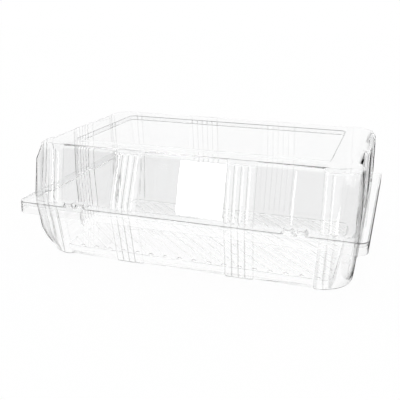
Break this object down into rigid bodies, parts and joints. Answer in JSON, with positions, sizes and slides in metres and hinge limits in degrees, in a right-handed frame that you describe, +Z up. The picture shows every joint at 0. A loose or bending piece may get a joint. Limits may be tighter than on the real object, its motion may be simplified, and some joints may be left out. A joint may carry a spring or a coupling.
{
  "type": "clamshell pack",
  "caption": "Clear hinged plastic clamshell pack with a shallow fluted tray, a taller fluted lid with a sunk top panel, and snap buttons on the front rim.",
  "frame": {"origin": "middle of the footprint, on the surface that the tray stands on", "axes": "+X along the long sides, +Y towards the hinge side, +Z up"},
  "size_m": [0.25, 0.175, 0.085],
  "materials": {
    "tray_plastic": "clear gloss",
    "lid_plastic": "clear gloss"
  },
  "bodies": {
    "tray": {"base_tray": "tray_plastic"},
    "lid": {"lid": "lid_plastic"}
  },
  "joints": [
    {"name": "lid_hinge", "type": "hinge", "parent": "tray", "child": "lid", "pos_m": [0, 0.0875, 0.04295], "axis": [-1, 0, 0], "range_deg": [0, 180]}
  ]
}
